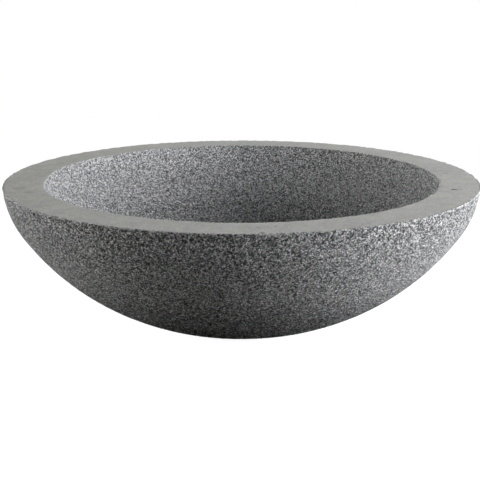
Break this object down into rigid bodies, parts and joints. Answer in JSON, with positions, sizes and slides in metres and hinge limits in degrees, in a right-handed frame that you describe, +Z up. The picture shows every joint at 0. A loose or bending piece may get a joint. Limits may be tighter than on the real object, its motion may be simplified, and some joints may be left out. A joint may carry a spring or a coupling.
{
  "type": "concrete bowl planter",
  "caption": "Shallow round cast concrete bowl planter with a flat trowelled rim, rounded walls in exposed aggregate, a plugged drain and rubber foot pads.",
  "frame": {"origin": "on the ground under the centre of the bowl", "axes": "+Z up along the bowl's axis of revolution, +X and +Y level"},
  "size_m": [0.8997, 0.8998, 0.283],
  "materials": {
    "concrete": "matte",
    "steel_bar": "matte",
    "tie_wire": "matte",
    "sleeve_plastic": "matte",
    "plug_rubber": "matte",
    "pad_rubber": "matte"
  },
  "bodies": {
    "bowl": {"concrete_bowl": "concrete", "rim_hoop": "steel_bar", "shoulder_hoop": "steel_bar", "belly_hoop": "steel_bar", "foot_hoop": "steel_bar", "floor_hoop": "steel_bar", "wall_bar_1": "steel_bar", "wall_bar_2": "steel_bar", "wall_bar_3": "steel_bar", "wall_bar_4": "steel_bar", "wall_bar_5": "steel_bar", "wall_bar_6": "steel_bar", "wall_bar_7": "steel_bar", "wall_bar_8": "steel_bar", "tie_wires": "tie_wire", "drain_sleeve": "sleeve_plastic", "foot_pad_1": "pad_rubber", "foot_pad_2": "pad_rubber", "foot_pad_3": "pad_rubber", "foot_pad_4": "pad_rubber"},
    "plug": {"drain_plug": "plug_rubber"}
  },
  "joints": [
    {"name": "plug_lift", "type": "slide", "parent": "bowl", "child": "plug", "axis": [0, 0, 1], "range_m": [0, 0.25]}
  ]
}
